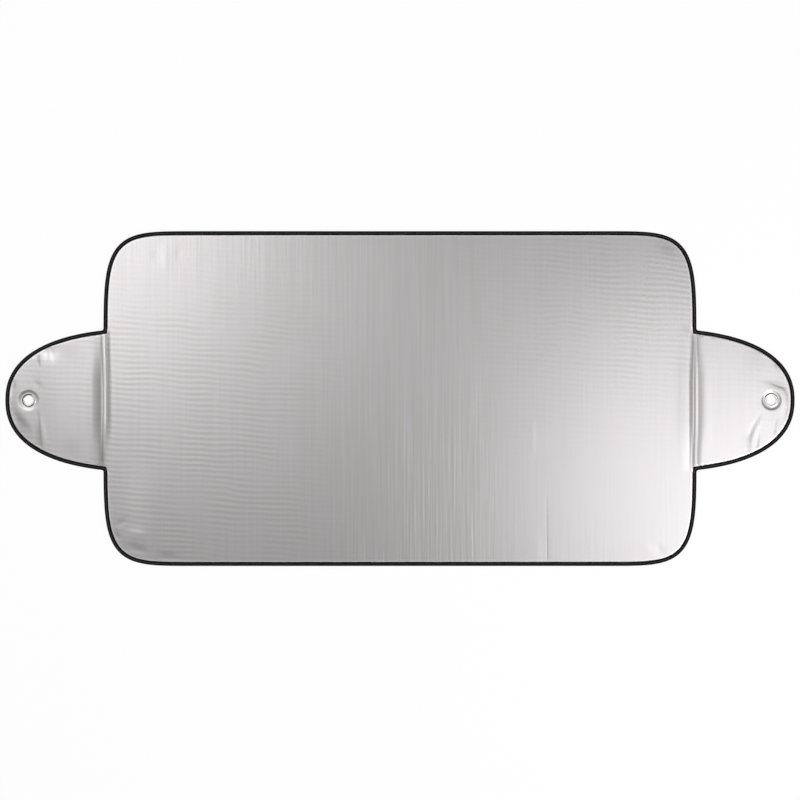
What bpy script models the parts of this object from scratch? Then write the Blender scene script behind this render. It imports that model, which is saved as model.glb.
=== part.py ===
"""Windscreen sun shade: one padded foil sheet with two ears, a folded tape round its edge and two eyelets.

The shade lies flat and face up, in metres: +X along its length, +Y towards its top edge, +Z out of its
face. Its origin is on the floor, under the middle of the panel.
"""

import math

import bmesh
import bpy
from mathutils import Vector

MM = 0.001

# The cut of the sheet, measured to the outside of the tape.
OVERALL_LENGTH = 1650 * MM
PANEL_LENGTH = 1240 * MM
PANEL_HEIGHT = 700 * MM
CORNER_LENGTH = 211 * MM
CORNER_HEIGHT = 270 * MM
CORNER_POWER = 5.0
EAR_DROP = 3.5 * MM  # the ears sit this far below the panel's centre line
EAR_REACH = 364 * MM  # the ear shows only the outer part of a longer curve
EAR_HALF_HEIGHT = 152 * MM
EAR_LENGTH_POWER = 3.0
EAR_HEIGHT_POWER = 2.27
NOTCH_ROUND = 4.5 * MM  # the tape's outer fold turns the corner between ear and panel over this length
EAR_STEPS = 18
CORNER_STEPS = 16

# The padded sheet. The tape and the eyelets squeeze it, and the creases are pressed into it.
SHEET_THICKNESS = 4.0 * MM
SQUEEZED_THICKNESS = 1.0 * MM
SHEET_MIDDLE = SHEET_THICKNESS / 2
CLEARANCE = 0.3 * MM
RIM_SHARE = 0.2  # share of the springy thickness that is left under the tape
RIM_SHOULDER = 11.5 * MM
RIM_SHOULDER_SHARE = 0.75
RIM_FULL = 15.0 * MM  # from here inwards the sheet has its full thickness

# The tape, folded round the edge of the sheet.
TAPE_THICKNESS = 0.6 * MM
TAPE_WIDTH = 8.0 * MM
TAPE_ROUND = 1.2 * MM

# The pressed crease along which each ear folds, as its section at the ear's centre line. Each entry has its
# offset from the crease's middle towards the ear, the height of the sheet's face over the flat sheet, and the
# thickness that is left there, in millimetres.
CREASE_SECTION_MM = [
    (-15, 0, 4),  # foot on the panel
    (-4.5, 0.15, 3.0),  # crest
    (-0.5, -0.7, 2.4),  # groove
    (1.5, -0.45, 2.4),  # crest
    (5.2, -1.6, 2.0),  # trough
    (26, 0, 4),  # foot on the ear
]
CREASE_EXTRA_LINES_MM = [-9.7, 9, 14, 20]
CREASE_END_FOOT_MM = 9  # the trough runs out this near to the crease's middle where it meets the tape
CREASE_PLACE = 618.5 * MM
CREASE_HALF_LENGTH = 138.5 * MM
CREASE_FADE_POWER = 10
CREASE_STATIONS = 7  # on each side of the ear's centre line

# The eyelets. Setting one presses a dish into the sheet on both of its faces.
EYELET_PLACE = 776 * MM
EYELET_SIDES = 36
METAL_THICKNESS = 0.5 * MM
HOLE_RADIUS = 10.0 * MM
DISH_FLOOR_RADIUS = 15.4 * MM
DISH_SHOULDER_RADIUS = 18.4 * MM
DISH_SHOULDER_SHARE = 0.6
DISH_RADIUS = 22.0 * MM
DISH_LIFT = 0.1 * MM  # the clamped sheet sits this far above the middle of the loose sheet

# Outer faces of the turned metal, as (radius, height above the floor) in millimetres, stretch by stretch.
EYELET_CROWN_MM = [(15.0, 2.9), (14.8, 3.4), (14.0, 3.9), (12.7, 4.2), (11.3, 4.15), (10.0, 3.7)]
EYELET_BARREL_MM = [(9.25, 2.9), (9.0, 1.9), (9.0, 0.75)]
EYELET_FLARE_MM = [(9.2, 0.22), (9.8, 0.0), (11.2, 0.0)]
WASHER_FACE_MM = [(9.9, 0.8), (13.2, 0.8), (14.9, 0.5)]


def power_curve(half_width, half_height, width_power, height_power, angle):
    """Point on a superellipse, each axis with its own power."""
    across = half_width * math.cos(angle) ** (2 / width_power)
    up = half_height * math.sin(angle) ** (2 / height_power)
    return Vector((across, up))


def ear_point(angle):
    """Point on the upper half of the right ear's edge, with angle 0 at its tip."""
    centre = Vector((OVERALL_LENGTH / 2 - EAR_REACH, 0))
    return centre + power_curve(EAR_REACH, EAR_HALF_HEIGHT, EAR_LENGTH_POWER, EAR_HEIGHT_POWER, angle)


def ear_quarter():
    """Upper half of the right ear's edge, from its tip to its root."""
    ear_length = (OVERALL_LENGTH - PANEL_LENGTH) / 2
    root_share = 1 - ear_length / EAR_REACH
    root_angle = math.acos(root_share ** (EAR_LENGTH_POWER / 2))
    return [ear_point(root_angle * step / EAR_STEPS) for step in range(EAR_STEPS + 1)]


def panel_quarter(start_height):
    """Side and corner of the panel, from start_height to where the top edge runs straight."""
    centre = Vector((PANEL_LENGTH / 2 - CORNER_LENGTH, PANEL_HEIGHT / 2 - CORNER_HEIGHT))
    start_share = (start_height - centre.y) / CORNER_HEIGHT
    start_angle = math.asin(start_share ** (CORNER_POWER / 2))
    points = []
    for step in range(CORNER_STEPS + 1):
        angle = start_angle + (math.pi / 2 - start_angle) * step / CORNER_STEPS
        points.append(centre + power_curve(CORNER_LENGTH, CORNER_HEIGHT, CORNER_POWER, CORNER_POWER, angle))
    return points


def outline_quarter(ear_rise):
    """A quarter of the outline, from the ear's tip to the top edge, and its notch's place in the list."""
    ear = [point + Vector((0, ear_rise)) for point in ear_quarter()]
    root = ear[-1]
    before_root = root + (ear[-2] - root).normalized() * NOTCH_ROUND
    panel = panel_quarter(root.y + NOTCH_ROUND)
    return ear[:-1] + [before_root, root] + panel, len(ear)


def whole_outline():
    """The outline, anticlockwise from the right ear's tip, and the places of its four notches."""
    upper, upper_notch = outline_quarter(-EAR_DROP)
    lower, lower_notch = outline_quarter(EAR_DROP)
    upper_left = [Vector((-point.x, point.y)) for point in reversed(upper)]
    lower_left = [Vector((-point.x, -point.y)) for point in lower[1:]]
    lower_right = [Vector((point.x, -point.y)) for point in reversed(lower[1:])]
    points = upper + upper_left + lower_left + lower_right
    left_tip = len(upper) + len(upper_left) - 1
    notches = [upper_notch, left_tip - upper_notch, left_tip + lower_notch, len(points) - lower_notch]
    return points, notches


OUTLINE, NOTCHES = whole_outline()


def inset_outline(inset, round_notches=False):
    """The outline moved inwards, mitred at each point, with its notches rounded if asked."""
    moved = []
    for place, point in enumerate(OUTLINE):
        before = (point - OUTLINE[place - 1]).normalized()
        after = (OUTLINE[(place + 1) % len(OUTLINE)] - point).normalized()
        inward = Vector((-before.y - after.y, before.x + after.x))
        moved.append(point + inward * inset / (1 + before.dot(after)))
    if round_notches:
        for notch in NOTCHES:
            moved[notch] = moved[notch] / 2 + (moved[notch - 1] + moved[notch + 1]) / 4
    return moved


def circle(centre, radius):
    """Points round an eyelet."""
    turns = [2 * math.pi * step / EYELET_SIDES for step in range(EYELET_SIDES)]
    return [centre + radius * Vector((math.cos(turn), math.sin(turn))) for turn in turns]


class Ring:
    """A closed loop of vertices that grows a surface as it is extruded."""

    def __init__(self, shape, points, height):
        self.shape = shape
        self.verts = [shape.verts.new((point.x, point.y, height)) for point in points]
        self.edges = [shape.edges.new(pair) for pair in zip(self.verts, self.verts[1:] + self.verts[:1])]

    def extrude_to(self, points, height):
        """Extrudes the loop and moves the new one onto the points, in the same order."""
        made = bmesh.ops.extrude_edge_only(self.shape, edges=self.edges)["geom"]
        fresh = {item for item in made if isinstance(item, bmesh.types.BMVert)}
        made_edges = [item for item in made if isinstance(item, bmesh.types.BMEdge)]
        self.edges = [edge for edge in made_edges if set(edge.verts) <= fresh]
        self.verts = [next(self.fresh_neighbours(vert, fresh)) for vert in self.verts]
        for vert, point in zip(self.verts, points):
            vert.co = (point.x, point.y, height)

    def fresh_neighbours(self, vert, fresh):
        """The new vertices that a vertex of the old loop was extruded to."""
        return (edge.other_vert(vert) for edge in vert.link_edges if edge.other_vert(vert) in fresh)

    def set_share(self, weight, share):
        """Sets the share of the springy thickness along the loop."""
        for vert in self.verts:
            vert[weight][0] = share


def cut_faces(shape, faces, place, direction):
    """Cuts these faces where they cross a plane, and keeps both sides."""
    geometry = set(faces)
    for face in faces:
        geometry.update(face.edges)
        geometry.update(face.verts)
    bmesh.ops.bisect_plane(shape, geom=list(geometry), dist=1e-6, plane_co=place, plane_no=direction)


def faces_between(shape, low, high):
    """Faces whose middle lies between two corners of a box seen from above."""
    found = []
    for face in shape.faces:
        middle = face.calc_center_median()
        if low[0] < middle.x < high[0] and low[1] < middle.y < high[1]:
            found.append(face)
    return found


def crease_lines():
    """Distances from the panel's middle of the lines that a crease bends along."""
    offsets = [section[0] for section in CREASE_SECTION_MM] + CREASE_EXTRA_LINES_MM
    return [CREASE_PLACE + offset * MM for offset in sorted(offsets)]


def cut_crease_lines(shape, side):
    """Adds the lines that one crease bends along, and the stations along its length."""
    low, high = -EAR_DROP - CREASE_HALF_LENGTH, -EAR_DROP + CREASE_HALF_LENGTH
    lines = sorted(side * line for line in crease_lines())
    for line in lines:
        band = faces_between(shape, (-OVERALL_LENGTH, low), (OVERALL_LENGTH, high))
        cut_faces(shape, band, (line, 0, 0), (1, 0, 0))
    for station in range(1 - CREASE_STATIONS, CREASE_STATIONS):
        height = CREASE_HALF_LENGTH * math.sin(math.pi / 2 * station / CREASE_STATIONS) - EAR_DROP
        crease = faces_between(shape, (lines[0], low), (lines[-1], high))
        cut_faces(shape, crease, (0, height, 0), (0, 1, 0))


def crease_section(offset_mm, foot_mm):
    """Height of the face over the flat sheet and thickness left, in millimetres, at this offset."""
    section = CREASE_SECTION_MM[:-1] + [(foot_mm, *CREASE_SECTION_MM[-1][1:])]
    for before, after in zip(section, section[1:]):
        if before[0] <= offset_mm < after[0]:
            share = (offset_mm - before[0]) / (after[0] - before[0])
            ease = (1 - math.cos(math.pi * share)) / 2
            return [low + (high - low) * ease for low, high in zip(before[1:], after[1:])]
    return section[0][1:]


def press_crease(vert, weight):
    """Presses a vertex of the sheet's middle surface into the crease, if it lies there."""
    along = abs(vert.co.y + EAR_DROP) / CREASE_HALF_LENGTH
    if along >= 1:
        return
    widest = CREASE_SECTION_MM[-1][0]
    foot = CREASE_END_FOOT_MM + (widest - CREASE_END_FOOT_MM) * (1 - along**2)
    rise, thickness = crease_section((abs(vert.co.x) - CREASE_PLACE) / MM, foot)
    fade = 1 - along**CREASE_FADE_POWER
    lost = (SHEET_THICKNESS - thickness * MM) * fade
    vert[weight][0] *= 1 - lost / (SHEET_THICKNESS - SQUEEZED_THICKNESS)
    vert.co.z += rise * MM * fade + lost / 2


def middle_surface():
    """The sheet's middle surface, where each vertex holds its share of the springy thickness."""
    shape = bmesh.new()
    weight = shape.verts.layers.deform.verify()
    rim = Ring(shape, inset_outline(RIM_FULL), SHEET_MIDDLE)
    centres = [Vector((side * EYELET_PLACE, -EAR_DROP)) for side in (-1, 1)]
    dishes = [Ring(shape, circle(centre, DISH_RADIUS), SHEET_MIDDLE) for centre in centres]
    bmesh.ops.triangle_fill(shape, use_beauty=True, edges=shape.edges[:], normal=(0, 0, 1))
    for ring in [rim] + dishes:
        ring.set_share(weight, 1.0)

    rim.extrude_to(inset_outline(RIM_SHOULDER), SHEET_MIDDLE)
    rim.set_share(weight, RIM_SHOULDER_SHARE)
    rim.extrude_to(inset_outline(TAPE_WIDTH + CLEARANCE), SHEET_MIDDLE)
    rim.set_share(weight, RIM_SHARE)
    rim.extrude_to(inset_outline(TAPE_ROUND, round_notches=True), SHEET_MIDDLE)
    rim.set_share(weight, RIM_SHARE)

    for centre, dish in zip(centres, dishes):
        dish.extrude_to(circle(centre, DISH_SHOULDER_RADIUS), SHEET_MIDDLE)
        dish.set_share(weight, DISH_SHOULDER_SHARE)
        dish.extrude_to(circle(centre, DISH_FLOOR_RADIUS), SHEET_MIDDLE + DISH_LIFT)
        dish.set_share(weight, 0.0)
        dish.extrude_to(circle(centre, HOLE_RADIUS), SHEET_MIDDLE + DISH_LIFT)
        dish.set_share(weight, 0.0)

    for height in (-EAR_DROP - CREASE_HALF_LENGTH, -EAR_DROP + CREASE_HALF_LENGTH):
        cut_faces(shape, shape.faces[:], (0, height, 0), (0, 1, 0))
    for side in (-1, 1):
        cut_crease_lines(shape, side)
    for vert in shape.verts:
        press_crease(vert, weight)
    return shape


def mesh_from(shape, name):
    """Turns a worked shape into a mesh with its faces the same way out."""
    bmesh.ops.recalc_face_normals(shape, faces=shape.faces[:])
    mesh = bpy.data.meshes.new(name)
    shape.to_mesh(mesh)
    shape.free()
    return mesh


def place_object(name, mesh, collection, material, location=(0, 0, 0)):
    """Puts a mesh in the scene with its finish."""
    made = bpy.data.objects.new(name, mesh)
    made.location = location
    collection.objects.link(made)
    if not mesh.materials:
        mesh.materials.append(material)
    return made


def make_material(name, colour, roughness, metallic):
    """A plain surface finish."""
    material = bpy.data.materials.new(name)
    material.use_nodes = True
    shader = material.node_tree.nodes["Principled BSDF"]
    shader.inputs["Base Color"].default_value = (*colour, 1.0)
    shader.inputs["Roughness"].default_value = roughness
    shader.inputs["Metallic"].default_value = metallic
    return material


def build_sheet(collection, material):
    """The padded foil sheet: its middle surface, thickened, and thin where it is squeezed."""
    shape = middle_surface()
    bmesh.ops.triangulate(shape, faces=shape.faces[:])
    sheet = place_object("reflective_sheet", mesh_from(shape, "reflective_sheet"), collection, material)
    sheet.vertex_groups.new(name="springy_thickness")
    solid = sheet.modifiers.new("thickness", "SOLIDIFY")
    solid.thickness = SHEET_THICKNESS
    solid.offset = 0.0
    solid.vertex_group = "springy_thickness"
    solid.thickness_vertex_group = SQUEEZED_THICKNESS / SHEET_THICKNESS
    return sheet


def build_binding(collection, material):
    """The tape: its outer face, folded round the whole edge of the sheet, thickened inwards."""
    rim_thickness = SQUEEZED_THICKNESS + RIM_SHARE * (SHEET_THICKNESS - SQUEEZED_THICKNESS)
    half = rim_thickness / 2 + CLEARANCE + TAPE_THICKNESS
    soft = TAPE_ROUND * (1 - math.sqrt(0.5))
    upper_half = [
        (TAPE_WIDTH, half, False),
        (TAPE_ROUND, half, True),
        (soft, half - soft, True),
        (0.0, half - TAPE_ROUND, True),
    ]
    lower_half = [(inset, -rise, rounded) for inset, rise, rounded in reversed(upper_half)]
    shape = bmesh.new()
    inset, rise, rounded = upper_half[0]
    fold = Ring(shape, inset_outline(inset, rounded), SHEET_MIDDLE + rise)
    for inset, rise, rounded in upper_half[1:] + lower_half:
        fold.extrude_to(inset_outline(inset, rounded), SHEET_MIDDLE + rise)
    binding = place_object("edge_binding", mesh_from(shape, "edge_binding"), collection, material)
    solid = binding.modifiers.new("thickness", "SOLIDIFY")
    solid.thickness = TAPE_THICKNESS
    solid.offset = -1.0
    solid.use_even_offset = True
    return binding


def face_mesh(name, points_mm):
    """The outer face of a turned piece, as a line of points in the XZ plane."""
    mesh = bpy.data.meshes.new(name)
    verts = [(radius * MM, 0.0, height * MM) for radius, height in points_mm]
    mesh.from_pydata(verts, [(place, place + 1) for place in range(len(verts) - 1)], [])
    return mesh


def build_turned(name, mesh, collection, material, side):
    """A turned piece of the eyelet on one ear: its outer face spun round, with its metal behind it."""
    turned = place_object(name, mesh, collection, material, (side * EYELET_PLACE, -EAR_DROP, 0))
    spin = turned.modifiers.new("spin", "SCREW")
    spin.steps = EYELET_SIDES
    spin.render_steps = EYELET_SIDES
    spin.use_merge_vertices = True
    spin.merge_threshold = 0.00005
    spin.use_smooth_shade = True
    spin.use_normal_flip = True
    metal = turned.modifiers.new("metal", "SOLIDIFY")
    metal.thickness = METAL_THICKNESS
    metal.offset = -1.0
    metal.use_even_offset = True
    return turned


def main():
    for old in list(bpy.data.objects):
        bpy.data.objects.remove(old)
    collection = bpy.data.collections.new("windscreen_sun_shade")
    bpy.context.scene.collection.children.link(collection)

    foil = make_material("silver_foil_laminate", (0.62, 0.61, 0.61), 0.4, 0.8)
    tape = make_material("black_woven_tape", (0.015, 0.015, 0.016), 0.75, 0.0)
    nickel = make_material("nickel_plated_steel", (0.72, 0.71, 0.70), 0.2, 1.0)

    build_sheet(collection, foil)
    build_binding(collection, tape)
    eyelet = face_mesh("eyelet", EYELET_CROWN_MM + EYELET_BARREL_MM + EYELET_FLARE_MM)
    washer = face_mesh("eyelet_washer", WASHER_FACE_MM)
    for name, side in (("left", -1), ("right", 1)):
        build_turned(f"{name}_eyelet", eyelet, collection, nickel, side)
        build_turned(f"{name}_eyelet_washer", washer, collection, nickel, side)


main()
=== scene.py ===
"""Windscreen sun shade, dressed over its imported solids.

The shade lies flat and face up on a pale floor and is seen from straight above. Everything is in metres: +X
runs along the shade's length, +Y towards its top edge and +Z out of its foil face.
"""

import logging
import math
from dataclasses import dataclass, field
from enum import Enum
from typing import Any

import bpy
import numpy as np
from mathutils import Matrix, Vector
from mathutils.geometry import delaunay_2d_cdt


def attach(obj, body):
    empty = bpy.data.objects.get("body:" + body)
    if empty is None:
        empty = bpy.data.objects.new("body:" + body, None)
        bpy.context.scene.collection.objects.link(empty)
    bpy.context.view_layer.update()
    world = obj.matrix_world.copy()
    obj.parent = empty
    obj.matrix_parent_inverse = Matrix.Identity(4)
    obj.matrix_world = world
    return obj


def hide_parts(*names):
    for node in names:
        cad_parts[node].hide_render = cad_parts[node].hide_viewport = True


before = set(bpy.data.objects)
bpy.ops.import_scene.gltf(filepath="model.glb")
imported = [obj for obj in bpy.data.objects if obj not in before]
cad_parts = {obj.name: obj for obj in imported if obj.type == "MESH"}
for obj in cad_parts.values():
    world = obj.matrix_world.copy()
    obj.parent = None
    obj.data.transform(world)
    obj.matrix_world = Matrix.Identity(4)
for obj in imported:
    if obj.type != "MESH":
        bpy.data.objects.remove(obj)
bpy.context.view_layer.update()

MM = 0.001
# Name of the foil's per-point painted shading: painted shade where positive, painted highlight where negative
PAINTED_SHADING = "crushed"
WAVE_SCALE = math.pi / 10  # a wave texture's Scale for bands one metre apart
POINTS_AT_ONCE = 2000
logging.basicConfig(level=logging.INFO, format="%(message)s")
log = logging.getLogger("sun_shade")


class Ear(Enum):
    """The two ears, each with the sign of X on its side."""

    LEFT = -1
    RIGHT = 1

    @property
    def word(self) -> str:
        """The ear's name as the solids' names have it."""
        return self.name.lower()


class SheetSide(Enum):
    """The two sides of the sheet, each with the way that it faces."""

    FRONT = 1
    BACK = -1


def ease(share: np.ndarray) -> np.ndarray:
    """Goes from 0 to 1 without a kink at either end.

    Args:
        share: How far along each value is, held to 0 and 1 outside them.

    Returns:
        The eased values.
    """
    return (1 - np.cos(np.pi * np.clip(share, 0, 1))) / 2


@dataclass(frozen=True)
class Corner:
    """A notch between an ear and the panel, where two stretches of the edge meet.

    Attributes:
        place: Where the two stretches would meet.
        before: Unit direction of the stretch that comes in.
        after: Unit direction of the stretch that goes out.
        first: Number of its first station.
    """

    place: np.ndarray
    before: np.ndarray
    after: np.ndarray
    first: int


def left_of(direction: np.ndarray) -> np.ndarray:
    """The direction turned a quarter turn to the left, which is inwards on an anticlockwise edge."""
    return np.stack((-direction[..., 1], direction[..., 0]), axis=-1)


@dataclass(frozen=True)
class EdgePath:
    """Stations round the whole edge, anticlockwise, each of which can be taken inwards.

    Attributes:
        base: Places of the stations on the edge.
        inward: Unit directions inwards at the stations.
        corners: The four notches.
        fan: Number of stations round a notch.
        trim: Length of edge that a notch takes from each stretch.
        soft_inset: Inset by which a notch's round corner has become sharp.
        mitre_pull: How much harder a sharp corner is drawn to its point than a round one.
    """

    base: np.ndarray
    inward: np.ndarray
    corners: tuple[Corner, ...]
    fan: int
    trim: float
    soft_inset: float
    mitre_pull: float = 7.0

    def at(self, inset: float) -> np.ndarray:
        """The edge moved inwards.

        Args:
            inset: How far inwards.

        Returns:
            The stations' places, which keep their order.
        """
        points = self.base + self.inward * inset
        for corner in self.corners:
            in_before, in_after = left_of(corner.before), left_of(corner.after)
            start = corner.place - corner.before * self.trim + in_before * inset
            end = corner.place + corner.after * self.trim + in_after * inset
            mitre = corner.place + (in_before + in_after) * inset / (1 + in_before @ in_after)
            pull = 1 + self.mitre_pull * min(inset / self.soft_inset, 1)
            share = np.linspace(0, 1, self.fan)[:, None]
            weights = (1 - share) ** 2, 2 * pull * share * (1 - share), share**2
            bend = (weights[0] * start + weights[1] * mitre + weights[2] * end) / sum(weights)
            points[corner.first : corner.first + self.fan] = bend
        return points

    def inset_of(self, points: np.ndarray) -> np.ndarray:
        """How far inside the edge points lie.

        Args:
            points: Places seen from above.

        Returns:
            Each point's distance from the edge.
        """
        line = self.at(0)
        step = np.roll(line, -1, axis=0) - line
        squared = (step**2).sum(1)
        inset = np.empty(len(points))
        for first in range(0, len(points), POINTS_AT_ONCE):
            some = slice(first, first + POINTS_AT_ONCE)
            apart = points[some, None] - line
            share = np.clip((apart * step).sum(2) / squared, 0, 1)
            inset[some] = np.linalg.norm(apart - share[..., None] * step, axis=2).min(1)
        return inset


@dataclass(frozen=True)
class Cut:
    """The shape that the sheet is cut to, measured to the outside of the tape."""

    overall_length: float = 1650 * MM
    panel_length: float = 1240 * MM
    panel_height: float = 700 * MM
    corner_length: float = 211 * MM
    corner_height: float = 270 * MM
    corner_power: float = 5.0
    ear_drop: float = 3.5 * MM
    ear_reach: float = 364 * MM
    ear_half_height: float = 152 * MM
    ear_length_power: float = 3.0
    ear_height_power: float = 2.27
    notch_round: float = 4.5 * MM
    tape_width: float = 8.0 * MM
    spacing: float = 6.0 * MM
    probe: float = 0.5 * MM
    fan: int = 7
    steps: int = 500

    def half_ear(self, rise: float) -> np.ndarray:
        """Upper half of the right ear's edge, from its tip to its root, moved up by rise."""
        root_share = 1 - (self.overall_length - self.panel_length) / 2 / self.ear_reach
        root_angle = math.acos(root_share ** (self.ear_length_power / 2))
        angles = np.linspace(0, root_angle, self.steps)
        across = self.overall_length / 2 - self.ear_reach
        across = across + self.ear_reach * np.cos(angles) ** (2 / self.ear_length_power)
        up = self.ear_half_height * np.sin(angles) ** (2 / self.ear_height_power)
        return np.column_stack((across, up + rise))

    def half_panel(self, start_height: float) -> np.ndarray:
        """The panel's edge from start_height on its right side, round a corner, to the middle of its top."""
        low = self.panel_height / 2 - self.corner_height
        start_share = (start_height - low) / self.corner_height
        start_angle = math.asin(start_share ** (self.corner_power / 2))
        angles = np.linspace(start_angle, math.pi / 2, self.steps)
        across = self.panel_length / 2 - self.corner_length
        across = across + self.corner_length * np.cos(angles).clip(0) ** (2 / self.corner_power)
        up = low + self.corner_height * np.sin(angles) ** (2 / self.corner_power)
        return np.vstack((np.column_stack((across, up)), [(0, self.panel_height / 2)]))

    def stretches(self) -> list[np.ndarray]:
        """The four smooth stretches of the edge: right ear, top, left ear and bottom, anticlockwise."""
        upper, lower = self.half_ear(-self.ear_drop), self.half_ear(self.ear_drop) * (1, -1)
        top = self.half_panel(upper[-1, 1])
        bottom = self.half_panel(-lower[-1, 1]) * (1, -1)
        ear = np.vstack((lower[::-1], upper[1:]))
        top = np.vstack((top, top[-2::-1] * (-1, 1)))
        bottom = np.vstack((bottom * (-1, 1), bottom[-2::-1]))
        return [ear, top, ear[::-1] * (-1, 1), bottom]

    def path(self) -> EdgePath:
        """Places the stations: evenly along each stretch, and a fan of them round each notch."""
        stretches = self.stretches()
        base, inward, corners = [], [], []
        placed = 0
        for line, following in zip(stretches, stretches[1:] + stretches[:1]):
            length = travelled_of(line)[-1]
            count = round((length - 2 * self.notch_round) / self.spacing)
            stops = np.linspace(self.notch_round, length - self.notch_round, count + 1)
            points = points_along(line, stops)
            direction = points_along(line, stops + self.probe) - points_along(line, stops - self.probe)
            direction /= np.linalg.norm(direction, axis=1)[:, None]
            base += [points[1:-1], np.zeros((self.fan, 2))]
            inward += [left_of(direction[1:-1]), np.zeros((self.fan, 2))]
            before = line[-1] - points[-1]
            after = points_along(following, self.notch_round)[0] - line[-1]
            placed += len(points) - 2
            before_unit, after_unit = before / np.linalg.norm(before), after / np.linalg.norm(after)
            corners.append(Corner(line[-1], before_unit, after_unit, placed))
            placed += self.fan
        return EdgePath(
            np.vstack(base), np.vstack(inward), tuple(corners), self.fan, self.notch_round, self.tape_width
        )


def travelled_of(line: np.ndarray) -> np.ndarray:
    """Distance travelled along a line at each of its points."""
    return np.concatenate(([0.0], np.cumsum(np.linalg.norm(np.diff(line, axis=0), axis=1))))


def points_along(line: np.ndarray, stops: np.ndarray | float) -> np.ndarray:
    """Points on a line.

    Args:
        line: The line's own points, in order.
        stops: Distances along it at which points are wanted.

    Returns:
        The points, one to a row.
    """
    travelled = travelled_of(line)
    return np.column_stack([np.interp(stops, travelled, line[:, axis]) for axis in (0, 1)])


def through_keys(offset: np.ndarray, keys: np.ndarray) -> np.ndarray:
    """Smooth values through keys that differ from point to point.

    Args:
        offset: Where the values are asked for, one for each point.
        keys: Each point's keys in order, each an offset followed by values.

    Returns:
        The values at each point, which are those of the end keys beyond them.
    """
    places, values = keys[:, :, 0], keys[:, :, 1:]
    held = np.clip(offset, places[:, 0], places[:, -1])
    slopes = np.zeros_like(values)
    slopes[:, 1:-1] = (values[:, 2:] - values[:, :-2]) / (places[:, 2:] - places[:, :-2])[..., None]
    rows = np.arange(len(offset))
    low = (held[:, None] >= places[:, 1:-1]).sum(1)
    width = places[rows, low + 1] - places[rows, low]
    share = ((held - places[rows, low]) / width)[:, None]
    start, end = values[rows, low], values[rows, low + 1]
    leave, arrive = slopes[rows, low] * width[:, None], slopes[rows, low + 1] * width[:, None]
    turn = share**2 * (3 - 2 * share)
    return start * (1 - turn) + end * turn + share * (1 - share) * (leave * (1 - share) - arrive * share)


@dataclass(frozen=True)
class Crease:
    """The pressed fold at an ear's root, as its section at its foot, its middle and its top.

    Each section lists, key by key across the fold, the offset towards the ear and the height of the face over
    the flat sheet, both in millimetres, and the painted shade on the film there, which is painted highlight
    where it is negative.

    Attributes:
        fade_power: How late along the fold it ends: the higher, the later.
        pinch: Thickness that the sheet loses for each unit that its face is pressed down.
        middle_reach: Share of the half length up to which the section is the middle one.
        change_reach: Share over which it then turns into the one at the foot or the top.
    """

    foot: tuple
    middle: tuple
    top: tuple
    place: float = 618.5 * MM
    centre_height: float = -3.5 * MM
    half_length: float = 150.0 * MM
    fade_power: int = 16
    pinch: float = 1.25
    middle_reach: float = 0.2
    change_reach: float = 0.65

    def press(self, points: np.ndarray, ear: Ear) -> tuple[np.ndarray, np.ndarray, np.ndarray]:
        """What the crease does to the sheet.

        Args:
            points: Places seen from above.
            ear: The ear that it folds.

        Returns:
            How far it lifts the face, how much thickness it takes and the painted shade on the film, painted
            highlight where negative, at each point.
        """
        along = (points[:, 1] - self.centre_height) / self.half_length
        offset = (points[:, 0] * ear.value - self.place) / MM
        to_foot = ease((-along - self.middle_reach) / self.change_reach)[:, None, None]
        to_top = ease((along - self.middle_reach) / self.change_reach)[:, None, None]
        keys = np.array(self.middle) * (1 - to_foot - to_top)
        keys = keys + np.array(self.foot) * to_foot + np.array(self.top) * to_top
        rise, crushed = through_keys(offset, keys).T
        fade = np.clip(1 - np.abs(along) ** self.fade_power, 0, 1)
        return rise * MM * fade, np.maximum(-rise, 0) * self.pinch * MM * fade, crushed * fade


# Crease sections: offset and height in millimetres, then painted shade, painted highlight where negative
LEFT_CREASE = Crease(
    foot=(
        (-24, 0, 0), (-14, 0.05, 0), (-9, -0.05, 0.05), (-5, -0.2, 0.15), (-1.5, -0.5, 0.35),
        (1, -0.85, 0.65), (3.2, -1.2, 0.95), (5.5, -1.15, 0.9), (9, -0.75, 0.6), (15, -0.3, 0.3),
        (24, 0.05, 0.1), (34, 0, 0),
    ),
    middle=(
        (-24, 0, 0), (-17, 0.1, 0), (-11, -0.6, 0.7), (-7.5, -1.25, 0.65), (-4, -1.9, 0.3),
        (-1.2, -0.9, -0.4), (2, -2.1, 0.85), (4.2, -1.5, -0.4), (7.6, -1.05, 0.75), (17, -0.25, 0.65),
        (27, 0.4, 0.1), (38, 0, 0),
    ),
    top=(
        (-20, 0, 0), (-14, 0.05, 0.1), (-9.6, -0.4, 1.0), (-6.5, -0.9, 0.5), (-2.5, -1.8, 0.5),
        (0.7, -0.45, -1.0), (2.9, -0.55, 0.5), (6.0, -0.45, 0.95), (9, -0.35, 0.25), (15, -0.05, 0.22),
        (22, 0.1, 0.15), (32, 0, 0.05),
    ),
)
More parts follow.
